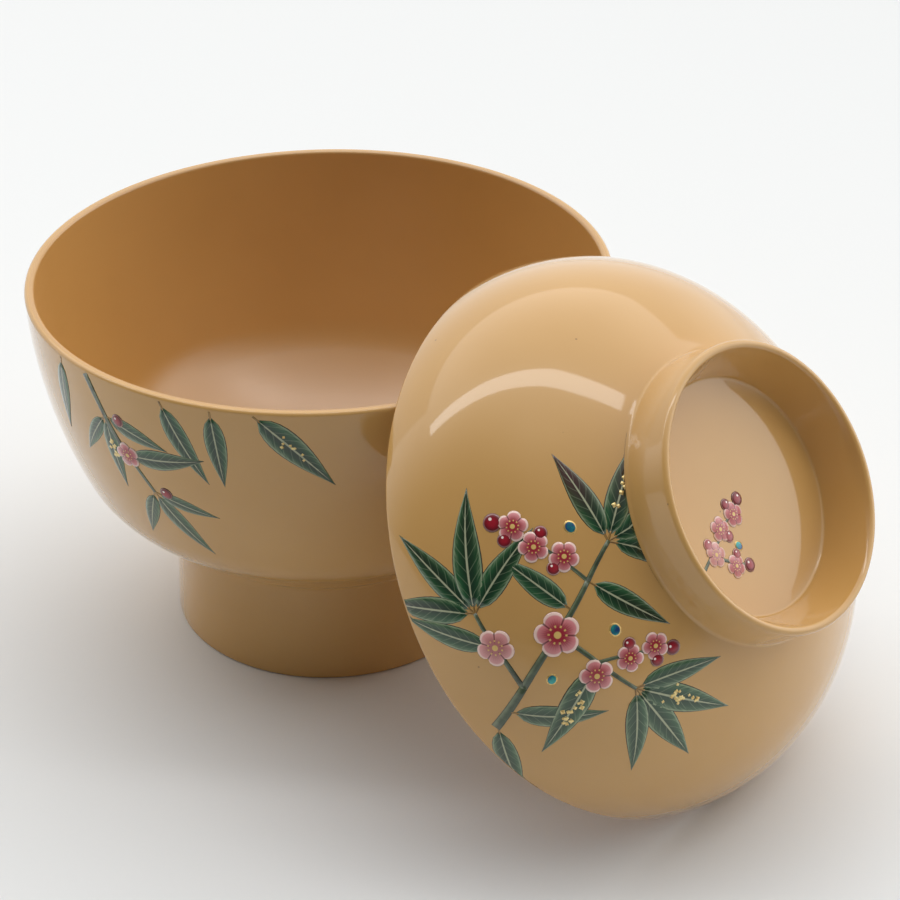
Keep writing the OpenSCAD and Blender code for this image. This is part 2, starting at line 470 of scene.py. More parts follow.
@dataclass(frozen=True)
class LeafPaint(Finish):
    """Painted leaf, dark along the middle and silvery at the edge, with drawn veins."""

    name: str = "leaf_paint"
    deep: Colour = srgb(10, 36, 22)
    green: Colour = srgb(30, 88, 50)
    grey: Colour = srgb(96, 112, 92)
    silver: Colour = srgb(160, 176, 140)
    maroon: Colour = srgb(70, 16, 22)
    line: Colour = srgb(186, 190, 156)
    ink: Colour = srgb(34, 32, 24)
    vein_count: float = 9.0

    def surface(self, t: Tree) -> Surface:
        """Works out the surface in a material's tree."""
        along, across, _ = t.parts(t.place("UV"))
        tint = t.tint()
        side = across * 2.0 - 1.0
        mid = abs(side)
        strokes = t.noise(1.0, 2.0, 0.6, t.vector((along * 3.0 - mid * 0.8) * 9.0,
                                                  side * 2.0, tint * 9.0))
        way = (along * self.vein_count - mid * 1.6).part() - 0.5
        veins = (1.0 - abs(way).ramp(0.03, 0.09)) * (1.0 - mid.ramp(0.6, 0.9))
        rib = (1.0 - mid.ramp(0.04, 0.09)) * (1.0 - along.ramp(0.8, 0.98))
        lighter = (mid.ramp(0.1, 0.9) * 0.7 + (side + 0.4).ramp(0.0, 1.2) * 0.3
                   + t.noise(260.0) * 0.3)
        colour = t.over(
            self.deep, (lighter, self.green),
            ((-tint).most(0.0) * (0.3 + mid * 0.5), self.grey),
            (mid.ramp(0.45, 1.0) * strokes.ramp(0.35, 0.65) * 0.65, self.silver),
            (tint.most(0.0) * along.ramp(0.05, 0.8) * 0.95, self.maroon),
            (veins * 0.22, self.silver), (rib * 0.85, self.line),
            (mid.ramp(0.76, 0.84) * 0.55, self.silver), (mid.ramp(0.88, 0.93), self.ink))
        return Surface(colour, 0.26 + strokes * 0.12,
                       strokes * 0.5 + (1.0 - mid.ramp(0.05, 0.14)), 0.03)


@dataclass(frozen=True)
class BudPaint(Finish):
    """Painted round bud, darker at its edge, with a drawn glint."""

    name: str = "bud_paint"
    red: Colour = srgb(158, 22, 40)
    deep: Colour = srgb(92, 8, 22)
    pale: Colour = srgb(208, 138, 138)
    edge: Colour = srgb(222, 176, 160)
    ink: Colour = srgb(58, 12, 16)
    glint: Colour = srgb(252, 240, 232)
    glint_up: float = 0.42

    def surface(self, t: Tree) -> Surface:
        """Works out the surface in a material's tree."""
        x, y, radius = t.disc()
        tint = t.tint()
        from_glint = (x * x + (y - self.glint_up) ** 2.0) ** 0.5
        cloud = t.noise(700.0)
        body = t.mix(radius.ramp(0.2, 0.95) + (cloud - 0.5) * 0.5, self.red, self.deep)
        soft = t.mix((1.0 - y.ramp(-0.8, 0.9)) + (cloud - 0.5) * 0.6, self.red, self.pale)
        colour = t.over(
            body, ((0.6 - tint).ramp(0.0, 1.2) * 0.85, soft),
            (radius.ramp(0.76, 0.84) * (0.7 - tint * 0.5), self.edge),
            (radius.ramp(0.92, 0.96) * 0.85, self.ink),
            (1.0 - from_glint.ramp(0.12, 0.2), self.glint))
        return Surface(colour, 0.24 + cloud * 0.1, cloud, 0.01)


PETALS = 5
PETAL_NOTCH = 0.26
PETAL_ROUND = 0.6


@dataclass(frozen=True)
class PetalPaint(Finish):
    """Painted blossom with drawn seams between its petals and a gold heart."""

    name: str = "petal_paint"
    red: Colour = srgb(176, 44, 60)
    pink: Colour = srgb(216, 140, 142)
    edge: Colour = srgb(240, 208, 196)
    ink: Colour = srgb(82, 16, 24)
    gold: Colour = srgb(226, 190, 112)
    streaks: float = 20.0
    anthers: float = 10.0
    anther_r: float = 0.36

    def surface(self, t: Tree) -> Surface:
        """Works out the surface in a material's tree."""
        x, y, radius = t.disc()
        tint = t.tint()
        angle = y.angle(x)
        lobe = abs((angle * (PETALS / 2)).cos())
        out = radius / (1.0 - PETAL_NOTCH + PETAL_NOTCH * lobe ** PETAL_ROUND)
        streak = abs((angle * self.streaks).sin())
        ring = ((1.0 - abs(radius - self.anther_r).ramp(0.03, 0.06))
                * (angle * self.anthers).cos().ramp(0.3, 0.7))
        heart = (ring + (1.0 - radius.ramp(0.13, 0.17))).least(1.0)
        colour = t.over(
            self.red, (out.ramp(0.2, 0.95), self.pink),
            (streak * (1.0 - out.ramp(0.4, 0.8)) * 0.35, self.ink),
            ((0.4 - tint).ramp(0.0, 1.4) * 0.6, self.edge),
            (out.ramp(0.8, 0.88), self.edge),
            ((1.0 - lobe.ramp(0.08, 0.2)) * out.ramp(0.25, 0.4) * 0.8, self.ink),
            (out.ramp(0.955, 0.975) * 0.8, self.ink), (heart, self.gold))
        return Surface(colour, 0.28 + streak * 0.08, heart + out.ramp(0.5, 1.0) * 0.5, 0.03)


@dataclass(frozen=True)
class StemPaint(Finish):
    """Painted stem with a dark edge, a lit side and small knots."""

    body: Colour
    lit: Colour
    ink: Colour
    metallic: float = 0.0

    def surface(self, t: Tree) -> Surface:
        """Works out the surface in a material's tree."""
        side = t.parts(t.place("UV"))[1] * 2.0 - 1.0
        grain = t.noise(900.0, 3.0, 0.6)
        knots = t.noise(220.0, 1.0).ramp(0.56, 0.66)
        colour = t.over(
            self.body, (side.ramp(-0.2, 0.8) * 0.7 + (grain - 0.5) * 0.8, self.lit),
            (knots * 0.55, self.ink), (abs(side).ramp(0.7, 0.92) * 0.7, self.ink))
        return Surface(colour, 0.3 + grain * 0.12, grain + knots, 0.03, self.metallic)


@dataclass(frozen=True)
class GoldLeaf(Finish):
    """Small flakes of gold."""

    name: str = "gold_flake"
    gold: Colour = srgb(246, 222, 150)
    worn: Colour = srgb(214, 176, 98)
    metallic: float = 0.55

    def surface(self, t: Tree) -> Surface:
        """Works out the surface in a material's tree."""
        grain = t.noise(1500.0)
        return Surface(t.mix(grain.ramp(0.4, 0.7), self.gold, self.worn),
                       0.3 + grain * 0.15, grain, 0.01, self.metallic)


@dataclass(frozen=True)
class ShellInlay(Finish):
    """Dot of shell that shifts from green to blue, inside a gold edge."""

    name: str = "shell_inlay"
    green: Colour = srgb(42, 158, 150)
    blue: Colour = srgb(28, 74, 128)
    gold: Colour = srgb(222, 186, 106)

    def surface(self, t: Tree) -> Surface:
        """Works out the surface in a material's tree."""
        rim = t.disc()[2].ramp(0.7, 0.78)
        sheet = t.noise(500.0, 3.0, 0.6)
        colour = t.over(self.green, (sheet.ramp(0.35, 0.65), self.blue), (rim, self.gold))
        return Surface(colour, 0.22 + sheet * 0.1, sheet, 0.01, 0.3 + rim * 0.2)


@dataclass(frozen=True)
class FloorPaper(Finish):
    """Pale matt floor. It is lighter at the front right and shaded far in front."""

    name: str = "floor_paper"
    paper: Colour = (0.785, 0.794, 0.793)
    grain: Colour = (0.75, 0.759, 0.758)
    # light and dark are the colours of a painted pool of light and of painted shade.
    light: Colour = (0.865, 0.885, 0.895)
    dark: Colour = (0.22, 0.22, 0.22)
    painted_light_x: Point = (0.02, 0.2)
    painted_light_y: Point = (-0.1, 0.06)
    painted_shade_y: Point = (-0.62, -0.08)

    def surface(self, t: Tree) -> Surface:
        """Works out the surface in a material's tree."""
        x, y, _ = t.parts(t.place("Object"))
        # Painted pool of light: the paper grows lighter towards the front right.
        corner = x.ramp(*self.painted_light_x) * (1.0 - y.ramp(*self.painted_light_y))
        # Painted shade: the paper darkens far in front of the bowl.
        shade = 1.0 - y.ramp(*self.painted_shade_y)
        colour = t.over(self.paper, (t.noise(900.0) * 0.3, self.grain),
                        (corner, self.light), (shade * 0.9, self.dark))
        return Surface(colour, 0.9, more={"Specular IOR Level": 0.0, "Coat Weight": 0.0})


# Turned pieces.
class Grower:
    """A Geometry Nodes tree with named inputs, which is run on a mesh."""

    def __init__(self, name: str, inputs: dict[str, str]) -> None:
        """Makes the tree.

        Args:
            name: Name of the tree.
            inputs: Kind of each input by its name. The first one takes the mesh.
        """
        self.tree = Tree(bpy.data.node_groups.new(name, "GeometryNodeTree"))
        face = self.tree.tree.interface
        self.ids = {key: face.new_socket(name=key, in_out="INPUT",
                                         socket_type="NodeSocket" + kind).identifier
                    for key, kind in inputs.items()}
        face.new_socket(name="Grown", in_out="OUTPUT", socket_type="NodeSocketGeometry")
        self.given = self.tree.node("NodeGroupInput")

    def grow(self, name: str, mesh: bpy.types.Mesh, values: dict[str, Any],
             place: Matrix) -> bpy.types.Object:
        """Runs the tree on a mesh and keeps the result as a plain mesh.

        Args:
            name: Name of the piece.
            mesh: What the tree starts from.
            values: Values of its inputs by name.
            place: Where the piece stands, in metres.

        Returns:
            The piece, with its place in its mesh.
        """
        source = put_in_scene(name + "_source", mesh)
        modifier = source.modifiers.new("Grown", "NODES")
        modifier.node_group = self.tree.tree
        for key, value in values.items():
            modifier[self.ids[key]] = value
        bpy.context.view_layer.update()
        ready = source.evaluated_get(bpy.context.evaluated_depsgraph_get())
        result = bpy.data.meshes.new_from_object(ready)
        source.modifiers.remove(modifier)
        bpy.data.objects.remove(source)
        bpy.data.meshes.remove(mesh)
        result.name = name
        result.transform(place)
        size = volume(result)
        if size < 0:
            result.flip_normals()
        log.info("%s: %d faces, %.2f cm3", name, len(result.polygons), abs(size) * 1e6)
        return put_in_scene(name, result)


class Lathe(Grower):
    """Revolves half sections."""

    MERGE = 1e-7

    def __init__(self) -> None:
        """Builds the tree with inputs for its steps and finishes."""
        super().__init__("Lathe", {"Section": "Geometry", "Steps around": "Int",
                                   "Outside finish": "Material",
                                   "Inside finish": "Material"})
        t, given = self.tree, self.given
        section = t.out(given, "Section")
        count = t.num(t.node("GeometryNodeAttributeDomainSize", {"component": "MESH"},
                             {0: section}), "Point Count")
        grid = t.node("GeometryNodeMeshGrid", None,
                      {"Size X": 1.0, "Size Y": 1.0,
                       "Vertices X": t.num(given, "Steps around") + 1.0,
                       "Vertices Y": count})
        here = t.node("GeometryNodeInputPosition")
        across, up, _ = t.parts(here)
        turn = (across + 0.5) * math.tau
        row = ((up + 0.5) * (count - 1.0)).whole()
        point, zone = (
            t.out(t.node("GeometryNodeSampleIndex", {"data_type": kind, "domain": "POINT"},
                         {"Geometry": section, "Index": row, "Value": value}), "Value")
            for kind, value in (("FLOAT_VECTOR", here), ("FLOAT", t.named("zone"))))
        radius, _, level = t.parts(point)
        inner = t.node("FunctionNodeCompare",
                       {"data_type": "FLOAT", "operation": "GREATER_THAN"},
                       {"A": t.named("zone"), "B": 0.5})
        turned = t.chain(
            t.out(grid, "Mesh"),
            ("GeometryNodeStoreNamedAttribute", {"data_type": "FLOAT2", "domain": "CORNER"},
             {"Name": "UVMap", "Value": t.out(grid, "UV Map")}),
            ("GeometryNodeStoreNamedAttribute", {"data_type": "FLOAT", "domain": "POINT"},
             {"Name": "zone", "Value": zone}),
            ("GeometryNodeSetPosition", {},
             {"Position": t.vector(radius * turn.cos(), radius * turn.sin(), level)}),
            ("GeometryNodeMergeByDistance", {}, {"Distance": self.MERGE}),
            ("GeometryNodeSetShadeSmooth", {}, {"Shade Smooth": True}),
            ("GeometryNodeRealizeInstances", {}, {}),
            ("GeometryNodeSetMaterial", {}, {"Material": t.out(given, "Outside finish")}),
            ("GeometryNodeSetMaterial", {},
             {"Selection": inner, "Material": t.out(given, "Inside finish")}))
        t.node("NodeGroupOutput", None, {0: turned})

    def turn(self, name: str, section: Section, finishes: dict[Zone, bpy.types.Material],
             place: Matrix, steps: int = 320) -> bpy.types.Object:
        """Revolves a section.

        Args:
            name: Name of the piece.
            section: Its half section.
            finishes: Finish of each zone.
            place: Where the piece stands, in metres.
            steps: Steps around the axis.

        Returns:
            The closed piece, with its place in its mesh.
        """
        mesh = section.mesh(name)
        mesh.attributes.new("zone", "FLOAT", "POINT").data.foreach_set(
            "value", [float(z) for z in section.zones])
        return self.grow(name, mesh, {"Steps around": steps,
                                      "Outside finish": finishes[Zone.OUTSIDE],
                                      "Inside finish": finishes[Zone.INSIDE]}, place)


def volume(mesh: bpy.types.Mesh) -> float:
    """Signed volume of a closed mesh, which is negative where it is inside out."""
    mesh.calc_loop_triangles()
    v = mesh.vertices
    return sum(v[a].co.dot(v[b].co.cross(v[c].co)) / 6.0
               for a, b, c in (tri.vertices for tri in mesh.loop_triangles))


@dataclass
class Bowl:
    """The bowl with its tall foot. Sizes are in millimetres."""

    rim_r: float = 60.0
    height: float = 79.4
    wall_t: float = 3.2
    lip_t: float = 2.0
    lip_edge: float = 0.7
    rim_lean: float = 1.1
    side_r: float = 105.5
    side_turn: float = 21.3
    belly_r: float = 20.0
    belly_turn: float = 26.0
    under_r: float = 160.0
    foot_r: float = 34.05
    foot_top_r: float = 33.0
    foot_ring_w: float = 3.6
    foot_edge: float = 0.6
    foot_hollow: float = 12.0
    hollow_draft: float = 10.0
    hollow_fillet: float = 2.0
    foot_fillet: float = 1.2

    def section(self) -> tuple[Section, Section]:
        """Half section of the bowl.

        Returns:
            The whole section, and its outer surface from the lip down to the foot.
        """
        lip_z = self.height - self.lip_edge
        lip_out = (self.rim_r - self.lip_edge, lip_z)
        lip_in = (self.rim_r - self.lip_t + self.lip_edge, lip_z)
        side_a = -self.rim_lean
        belly_a = side_a - self.side_turn
        under_a = belly_a - self.belly_turn
        side_c = plus(lip_out, unit(side_a), self.lip_edge - self.side_r)
        belly_j = plus(side_c, unit(belly_a), self.side_r)
        belly_c = plus(belly_j, unit(belly_a), -self.belly_r)
        under_j = plus(belly_c, unit(under_a), self.belly_r)
        under_c = plus(under_j, unit(under_a), -self.under_r)
        in_r = self.belly_r - self.wall_t
        in_j = plus(belly_c, unit(belly_a), in_r)
        rise = plus(lip_in, in_j, -1.0)
        along = rise[0] * unit(belly_a)[0] + rise[1] * unit(belly_a)[1]
        in_side_r = ((rise[0] ** 2 + rise[1] ** 2 - self.lip_edge ** 2)
                     / (2 * (self.lip_edge - along)))
        in_side_c = plus(in_j, unit(belly_a), -in_side_r)
        floor_j = plus(belly_c, unit(under_a), in_r)
        floor_r = floor_j[0] / unit(under_a)[0]
        floor_c = (0.0, floor_j[1] - floor_r * unit(under_a)[1])
        foot_h = under_c[1] - half_width(self.under_r, self.foot_top_r - under_c[0])
        lean = math.degrees(math.atan2(self.foot_r - self.foot_top_r, foot_h))
        tread_out = (self.foot_r - self.foot_edge * (1 + unit(lean)[1]) / unit(lean)[0],
                     self.foot_edge)
        tread_in = (self.foot_r - self.foot_ring_w + self.foot_edge, self.foot_edge)
        start = plus(tread_out, unit(lean), self.foot_edge)
        fil_c = fillet_centre(start, unit(lean + 90), unit(lean), under_c, self.under_r,
                              self.foot_fillet)
        hollow = plus(tread_in, unit(self.hollow_draft), -self.foot_edge)
        draft = math.radians(self.hollow_draft)
        top_r = hollow[0] - (self.foot_hollow - hollow[1]) * math.tan(draft)
        hollow_c = (top_r - self.hollow_fillet * math.tan(math.pi / 4 - draft / 2),
                    self.foot_hollow - self.hollow_fillet)

        whole = Section()
        whole.add((0.0, self.foot_hollow), (POLE_STEP, self.foot_hollow))
        whole.line((hollow_c[0], self.foot_hollow))
        whole.arc(hollow_c, self.hollow_fillet, 90, self.hollow_draft, SMALL_STEP)
        whole.line(hollow)
        whole.arc(tread_in, self.foot_edge, 180 + self.hollow_draft, 270, EDGE_STEP)
        whole.line((tread_out[0], 0.0), CURVE_STEP)
        whole.arc(tread_out, self.foot_edge, -90, lean, EDGE_STEP)
        whole.line(plus(fil_c, unit(lean), -self.foot_fillet))
        whole.arc(fil_c, self.foot_fillet, lean + 180, heading(fil_c, under_c), CREASE_STEP)
        mark = len(whole.points) - 1
        whole.arc(under_c, self.under_r, heading(under_c, fil_c), under_a)
        whole.arc(belly_c, self.belly_r, under_a, belly_a, CURVE_STEP)
        whole.arc(side_c, self.side_r, belly_a, side_a)
        outer = Section(list(reversed(whole.points[mark:])))
        whole.arc(lip_out, self.lip_edge, side_a, 90, LIP_STEP)
        whole.zone = Zone.INSIDE
        whole.line((lip_in[0], self.height), SMALL_STEP)
        in_top = heading(in_side_c, lip_in)
        whole.arc(lip_in, self.lip_edge, 90, 180 + in_top, LIP_STEP)
        whole.arc(in_side_c, in_side_r, in_top, belly_a)
        whole.arc(belly_c, in_r, belly_a, under_a, CURVE_STEP)
        whole.arc(floor_c, floor_r, under_a, -90)
        whole.points[-1] = (0.0, whole.points[-1][1])
        return whole, outer


@dataclass
class Lid:
    """The lid with its ring grip, standing on its rim. Sizes are in millimetres."""

    rim_r: float = 55.2
    thickness: float = 2.0
    lean: float = 3.1
    shoulder_r: float = 34.2
    shoulder_turn: float = 51.0
    crown_r: float = 76.4
    ceiling_t: float = 2.6
    ceiling_fillet: float = 12.0
    ring_r: float = 27.7
    ring_lip_r: float = 27.4
    ring_top: float = 44.0
    ring_lip_t: float = 1.7
    recess_r: float = 22.5
    recess_depth: float = 9.1
    recess_fillet: float = 0.6
    ring_fillet: float = 0.8
    lean_turn: float = -43.5
    lean_tilt: float = 35.2959
    lean_out: float = 74.6982
    lean_up: float = 44.6791

    @property
    def floor_z(self) -> float:
        """Level of the floor inside the ring."""
        return self.ring_top - self.recess_depth

    def place(self) -> Matrix:
        """Where the leaning lid stands, in metres."""
        return (Matrix.Rotation(math.radians(self.lean_turn), 4, "Z")
                @ Matrix.Translation((self.lean_out * MM, 0.0, self.lean_up * MM))
                @ Matrix.Rotation(math.radians(90 - self.lean_tilt), 4, "Y"))

    def section(self) -> tuple[Section, Section]:
        """Half section of the lid.

        Returns:
            The whole section, and its outer surface from the ring down to the rim.
        """
        edge = self.thickness / 2
        rim = (self.rim_r - edge, edge)
        crown_a = self.lean + self.shoulder_turn
        shoulder_c = plus(rim, unit(self.lean), edge - self.shoulder_r)
        crown_j = plus(shoulder_c, unit(crown_a), self.shoulder_r)
        crown_c = plus(crown_j, unit(crown_a), -self.crown_r)
        recess_z = self.floor_z
        ceiling_z = recess_z - self.ceiling_t
        in_crown_r = self.crown_r - self.thickness
        rise = ceiling_z - self.ceiling_fillet - crown_c[1]
        ceiling_c = (crown_c[0] + half_width(in_crown_r - self.ceiling_fillet, rise),
                     crown_c[1] + rise)
        lip_r = self.ring_lip_t / 2
        lip = (self.ring_lip_r - lip_r, self.ring_top - lip_r)
        foot = (self.ring_r, crown_c[1] + half_width(self.crown_r,
                                                     self.ring_r - crown_c[0]))
        out_a = touch_angle(foot, lip, lip_r, -1)
        ring_out = plus(lip, unit(out_a - 90), lip_r)
        down = unit(out_a + 180)
        fil_c = fillet_centre(ring_out, down, unit(out_a - 90), crown_c, self.crown_r,
                              self.ring_fillet)
        corner = (self.recess_r, recess_z)
        in_a = touch_angle(corner, lip, lip_r, 1)
        cut = self.recess_fillet * math.tan(math.radians(in_a / 2))
        recess_c = (self.recess_r - cut, recess_z + self.recess_fillet)

        whole = Section(zone=Zone.INSIDE)
        whole.add((0.0, ceiling_z), (POLE_STEP, ceiling_z))
        whole.line((ceiling_c[0], ceiling_z))
        whole.arc(ceiling_c, self.ceiling_fillet, 90, heading(crown_c, ceiling_c), CURVE_STEP)
        whole.arc(crown_c, in_crown_r, heading(crown_c, ceiling_c), crown_a)
        whole.arc(shoulder_c, self.shoulder_r - self.thickness, crown_a, self.lean)
        whole.zone = Zone.OUTSIDE
        whole.arc(rim, edge, self.lean + 180, self.lean + 360, EDGE_STEP)
        mark = len(whole.points) - 1
        whole.arc(shoulder_c, self.shoulder_r, self.lean, crown_a, SHOULDER_STEP)
        whole.arc(crown_c, self.crown_r, crown_a, heading(crown_c, fil_c))
        outer = Section(list(reversed(whole.points[mark:])))
        whole.arc(fil_c, self.ring_fillet, heading(fil_c, crown_c), out_a - 270, EDGE_STEP)
        whole.line(ring_out, RING_STEP)
        whole.arc(lip, lip_r, out_a - 90, in_a + 90, EDGE_STEP)
        whole.line(plus(corner, unit(in_a), cut), RING_STEP)
        whole.arc(recess_c, self.recess_fillet, in_a - 90, -90, LIP_STEP)
        whole.line((POLE_STEP, recess_z))
        whole.add((0.0, recess_z))
        return whole, outer


# Decoration.
class Motif(Enum):
    """Shape that is laid on the lacquer, in its own square of one by one."""

    LEAF = "leaves"
    BUD = "buds"
    BLOSSOM = "blossoms"
    TWIG = "twigs"
    TENDRIL = "tendrils"
    FLAKE = "gold_flakes"
    SHELL = "shell_dots"


@dataclass
class Mark:
    """One motif on a surface. Lengths are in millimetres, angles in degrees."""

    down: float
    turn: float
    heading: float
    long: float = 0.0
    wide: float = 0.0
    bend: float = 0.0
    tint: float = 0.0
    lift: float = 0.0


@dataclass
class Chart:
    """Way over a turned surface, by the length down its section and the turn round it.

    Near any place the surface is taken for the cone that touches it, and unrolled.
    """

    outer: Section
    least_slope: float = 0.02

    def at(self, down: float) -> tuple[float, float]:
        """Radius at a length down the section, and how fast it grows there."""
        points = self.outer.points
        for p, q in zip(points, points[1:]):
            run = math.dist(p, q)
            if down <= run or q is points[-1]:
                share = down / run
                return p[0] + (q[0] - p[0]) * share, (q[0] - p[0]) / run
            down -= run
        raise ValueError("the section has no length")

    def move(self, mark: Mark, x: float, y: float = 0.0) -> Mark:
        """Place beside a mark.

        Args:
            mark: Where to start.
            x: Way along the mark's heading.
            y: Way to the left of it.

        Returns:
            The place, with the same direction as its heading there, and no size.
        """
        c, s = unit(mark.heading)
        right, above = x * c - y * s, x * s + y * c
        radius, grows = self.at(mark.down)
        slope = max(abs(grows), self.least_slope)
        side = 1.0 if grows > 0 else -1.0
        apex = radius / slope
        near = apex - side * above
        angle = math.degrees(math.atan2(right, near))
        return Mark(mark.down + side * (math.hypot(near, right) - apex),
                    mark.turn + angle / slope, mark.heading - side * angle)


class Spray:
    """Leaves, buds and blossoms on one surface, grown from a few branches.

    Sizes are in millimetres, angles in degrees, and shares are of the size that a motif
    is given.
    """

    STRIP_ALONG = 0.985
    STRIP_ACROSS = 0.97
    LEAF_COATS = 4
    LEAF_COAT = 0.012
    LEAF_WIDE_SHARE = 0.29
    LEAF_WIDE_SPREAD = 0.08
    LEAF_BEND = 0.09
    STALK_LONG = 1.8
    STALK_SEEN = 1.4
    STALK_WIDE = 0.42
    FLAKE_ALONG = (0.24, 0.6)
    FLAKE_SPREAD = 0.12
    FLAKE_SIZES = (0.7, 0.9, 1.15)
    FLAKE_TURNS = (0, 30, 45)
    FAN_FADE = 260.0
    FAN_SPREAD = 0.05
    TINT_SPREAD = 0.15
    BUD_SPREAD = 0.06
    SPRIG_WIDE = 0.75
    SPRIG_TAPER = 0.88
    SPRIG_REDDER = 0.4
    SIDE_ANGLE = 58.0
    SIDE_LONG_SHARE = 0.6
    SIDE_WIDE = 0.36
    BUD_REACH_SHARE = 0.7
    SIDE_BUD_SHARE = 0.8
    BLOSSOM_ON_SHARE = 0.3
    BLOSSOM_ASIDE_SHARE = 0.22
    BLOSSOM_SHARE = 1.7
    BLOSSOM_LIFT = 0.12
    SHELL_LONG_SHARE = 1.15

    def __init__(self, chart: Chart, seed: int, lit: float = 90.0) -> None:
        """Starts an empty spray.

        Args:
            chart: The surface.
            seed: Seed of the small differences.
            lit: Heading of the side on which buds carry their glint.
        """
        self.chart = chart
        self.lit = lit
        self.random = random.Random(seed)
        self.marks: dict[Motif, list[Mark]] = {motif: [] for motif in Motif}

    def _near(self, value: float, share: float) -> float:
        """The value, up to a share of it larger or smaller."""
        return value * (1.0 + self.random.uniform(-share, share))

    def _put(self, motif: Motif, at: Mark, heading: float, long: float, wide: float,
             bend: float = 0.0, tint: float = 0.0, lift: float = 0.0) -> Mark:
        """Adds a mark at a place and returns it."""
        mark = Mark(at.down, at.turn, heading, long, wide, bend, tint, lift)
        self.marks[motif].append(mark)
        return mark

    def stem(self, motif: Motif, start: Mark, wide: float,
             parts: Sequence[tuple[float, float]], taper: float = 0.8) -> list[Mark]:
        """Grows a stem of strips that follow one another.

        Args:
            motif: What the strips are.
            start: Where it starts, and its heading.
            wide: Its width there.
            parts: Length and bend of each strip.
            taper: Width of a strip as a share of the one before.

        Returns:
            The places between the strips, with the heading there.
        """
        joints = []
        here = start
        for length, bend in parts:
            strip = self._put(motif, here, here.heading, length, wide, bend)
            here = self.chart.move(strip, length * self.STRIP_ALONG,
                                   length * bend * self.STRIP_ACROSS)
            here.heading += math.degrees(math.atan(2 * bend))
            wide *= taper
            joints.append(here)
        return joints

    def leaf(self, root: Mark, heading: float, length: float, tint: float = 0.0,
             flakes: int = 0) -> None:
        """Lays one leaf on its stalk, with a few gold flakes on some.

        Args:
            root: Where the stalk starts.
            heading: Direction of the leaf.
            length: Its length.
            tint: From grey at -1 through green at 0 to maroon at 1.
            flakes: How many gold flakes lie on it.
        """
        stalk = self._put(Motif.TENDRIL, root, heading, self.STALK_LONG, self.STALK_WIDE)
        foot = self.chart.move(stalk, self.STALK_SEEN)
        bend = self.random.uniform(-self.LEAF_BEND, self.LEAF_BEND)
        wide = self._near(length * self.LEAF_WIDE_SHARE, self.LEAF_WIDE_SPREAD)
        coat = len(self.marks[Motif.LEAF]) % self.LEAF_COATS * self.LEAF_COAT
        blade = self._put(Motif.LEAF, foot, foot.heading, length, wide, bend, tint, coat)
        for _ in range(flakes):
            along = self.random.uniform(*self.FLAKE_ALONG)
            across = self.random.gauss(0.0, self.FLAKE_SPREAD) * wide
            spot = self.chart.move(blade, along * length,
                                   across + bend * length * along ** 2)
            size = self.random.choice(self.FLAKE_SIZES)
            self._put(Motif.FLAKE, spot,
                      spot.heading + self.random.choice(self.FLAKE_TURNS), size, size,
                      lift=coat)

    def fan(self, root: Mark, spread: Sequence[float], length: float, tint: float = 0.0,
            flakes: int = 0) -> None:
        """Lays leaves that open from one place.

        Args:
            root: Their place, and the heading of the middle of the fan.
            spread: Angle of each leaf from the middle.
            length: Length of the longest.
            tint: Their tint.
            flakes: How many gold flakes lie on the middle one.
        """
        least = min(abs(angle) for angle in spread)
        for angle in spread:
            share = 1.0 - abs(angle) / self.FAN_FADE
            long = self._near(length * share, self.FAN_SPREAD)
            hue = tint + self.random.uniform(-self.TINT_SPREAD, self.TINT_SPREAD)
            self.leaf(root, root.heading + angle, long, hue,
                      flakes if abs(angle) == least else 0)

    def bud(self, place: Mark, size: float, tint: float) -> None:
        """Lays one round bud, from pale at -1 to deep red at 1."""
        size = self._near(size, self.BUD_SPREAD)
        self._put(Motif.BUD, place, self.lit - 90.0, size, size, 0.0, tint)

    def blossom(self, place: Mark, size: float, tint: float) -> None:
        """Lays one open blossom."""
        self._put(Motif.BLOSSOM, place, self.random.uniform(0.0, 360.0 / PETALS), size,
                  size, 0.0, tint, self.BLOSSOM_LIFT)

    def sprig(self, start: Mark, parts: Sequence[tuple[float, float]], size: float,
              tint: float) -> list[Mark]:
        """Grows a twig with blossoms and buds to its two sides by turns.

        Args:
            start: Where it starts, and its heading.
            parts: Length and bend of each strip.
            size: Size of the bud at its end.
            tint: Tint of the lowest blossom. The next ones are redder.

        Returns:
            The joints of the stem.
        """
        joints = self.stem(Motif.TWIG, start, self.SPRIG_WIDE, parts, self.SPRIG_TAPER)
        for k, joint in enumerate(joints):
            redder = min(1.0, tint + self.SPRIG_REDDER * k)
            if joint is joints[-1]:
                self.bud(joint, size, redder)
                continue
            side = 1.0 if k % 2 else -1.0
            stalk = self._put(Motif.TENDRIL, joint, joint.heading - side * self.SIDE_ANGLE,
                              size * self.SIDE_LONG_SHARE, self.SIDE_WIDE)
            self.bud(self.chart.move(stalk, size * self.BUD_REACH_SHARE),
                     size * self.SIDE_BUD_SHARE, redder)
            self.blossom(self.chart.move(joint, self.BLOSSOM_ON_SHARE * size,
                                         self.BLOSSOM_ASIDE_SHARE * size * side),
                         size * self.BLOSSOM_SHARE, redder)
        return joints

    def shell(self, place: Mark, size: float) -> None:
        """Lays one dot of shell with a gold edge."""
        self._put(Motif.SHELL, place, self.random.uniform(0.0, 180.0),
                  size * self.SHELL_LONG_SHARE, size)


def closed_mesh(name: str, points: list[Vector], faces: list[Sequence[int]],
                chart: list[Point]) -> bpy.types.Mesh:
    """Makes a smooth closed mesh whose map is given point by point.

    Args:
        name: Name of the mesh.
        points: Its points.
        faces: Its faces.
        chart: Place of each point on the map.

    Returns:
        The mesh.
    """
    mesh = bpy.data.meshes.new(name)
    mesh.from_pydata(points, [], faces)
    layer = mesh.uv_layers.new(name="UVMap")
    for loop in mesh.loops:
        layer.data[loop.index].uv = chart[loop.vertex_index]
    for face in mesh.polygons:
        face.use_smooth = True
    return mesh


